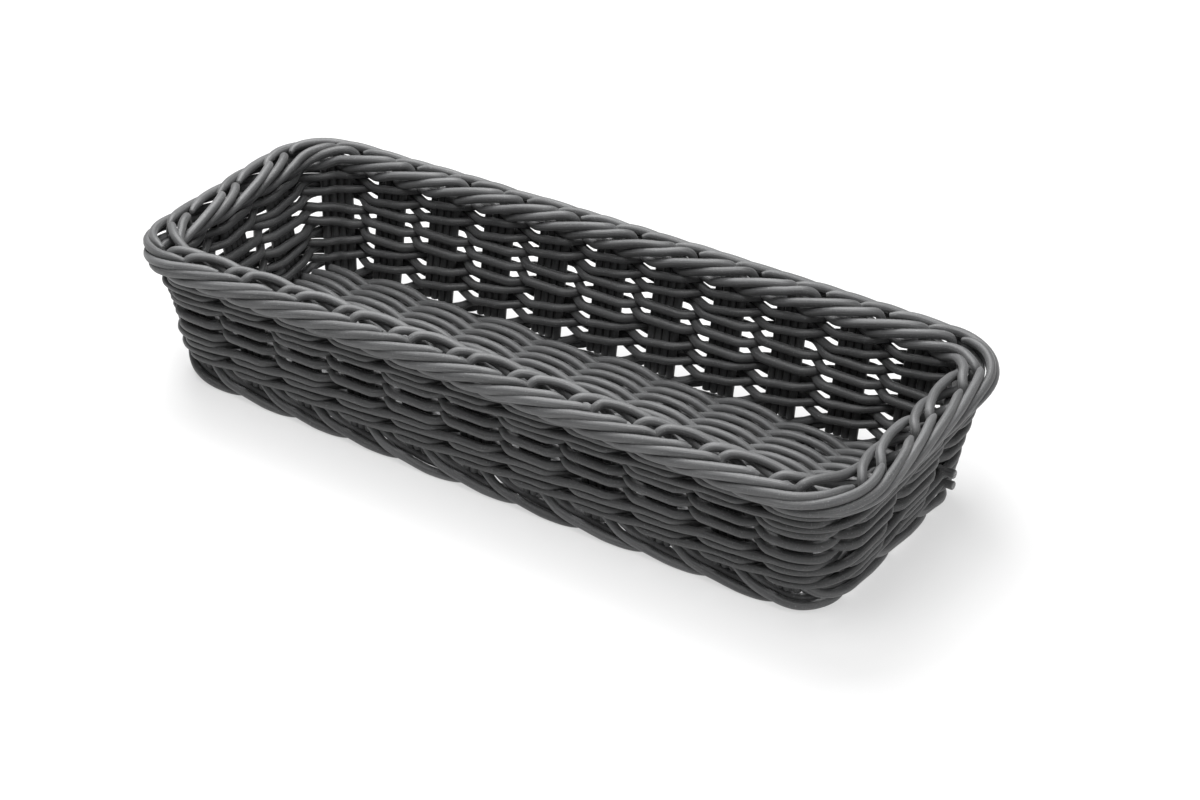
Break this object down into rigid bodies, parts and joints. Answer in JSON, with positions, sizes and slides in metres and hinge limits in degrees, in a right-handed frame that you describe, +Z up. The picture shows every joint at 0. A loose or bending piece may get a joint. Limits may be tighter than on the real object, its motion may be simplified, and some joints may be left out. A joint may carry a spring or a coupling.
{
  "type": "woven bread basket",
  "caption": "Long, low rectangular bread basket woven from round plastic cane, with flared walls, rounded corners and a thick rolled rim.",
  "frame": {"origin": "middle of the footprint, at the height of the table", "axes": "+X along the basket's length, +Y towards the back, +Z up out of the open top"},
  "size_m": [0.4014, 0.1635, 0.075],
  "materials": {
    "weaver_cane": "matte extruded cane with a fine grain along its length",
    "stake_cane": "matte extruded cane with a fine grain along its length",
    "border_cane": "matte extruded cane, slightly paler where it is handled"
  },
  "bodies": {
    "root": {"base_cross_sticks": "stake_cane", "base_weaver_01": "weaver_cane", "base_weaver_02": "weaver_cane", "base_weaver_03": "weaver_cane", "base_weaver_04": "weaver_cane", "base_weaver_05": "weaver_cane", "base_weaver_06": "weaver_cane", "base_weaver_07": "weaver_cane", "base_weaver_08": "weaver_cane", "base_weaver_09": "weaver_cane", "base_weaver_10": "weaver_cane", "base_weaver_11": "weaver_cane", "base_weaver_12": "weaver_cane", "base_weaver_13": "weaver_cane", "base_weaver_14": "weaver_cane", "base_weaver_15": "weaver_cane", "base_weaver_16": "weaver_cane", "base_weaver_17": "weaver_cane", "base_weaver_18": "weaver_cane", "base_weaver_19": "weaver_cane", "base_weaver_20": "weaver_cane", "base_weaver_21": "weaver_cane", "base_weaver_22": "weaver_cane", "base_weaver_23": "weaver_cane", "base_weaver_24": "weaver_cane", "base_weaver_25": "weaver_cane", "base_weaver_26": "weaver_cane", "base_weaver_27": "weaver_cane", "base_weaver_28": "weaver_cane", "base_weaver_29": "weaver_cane", "base_weaver_30": "weaver_cane", "base_weaver_31": "weaver_cane", "foot_border_front": "border_cane", "foot_border_right": "border_cane", "foot_border_back": "border_cane", "foot_border_left": "border_cane", "stakes_front": "stake_cane", "stakes_right": "stake_cane", "stakes_back": "stake_cane", "stakes_left": "stake_cane", "stakes_corners": "stake_cane", "lower_wale_1": "weaver_cane", "lower_wale_2": "weaver_cane", "weave_row_1": "weaver_cane", "weave_row_2": "weaver_cane", "weave_row_3": "weaver_cane", "weave_row_4": "weaver_cane", "weave_row_5": "weaver_cane", "upper_wale_1": "weaver_cane", "upper_wale_2": "weaver_cane", "rim_outer_front": "border_cane", "rim_outer_right": "border_cane", "rim_outer_back": "border_cane", "rim_outer_left": "border_cane", "rim_inner_front": "border_cane", "rim_inner_right": "border_cane", "rim_inner_back": "border_cane", "rim_inner_left": "border_cane", "tail_ends": "border_cane"}
  },
  "joints": []
}
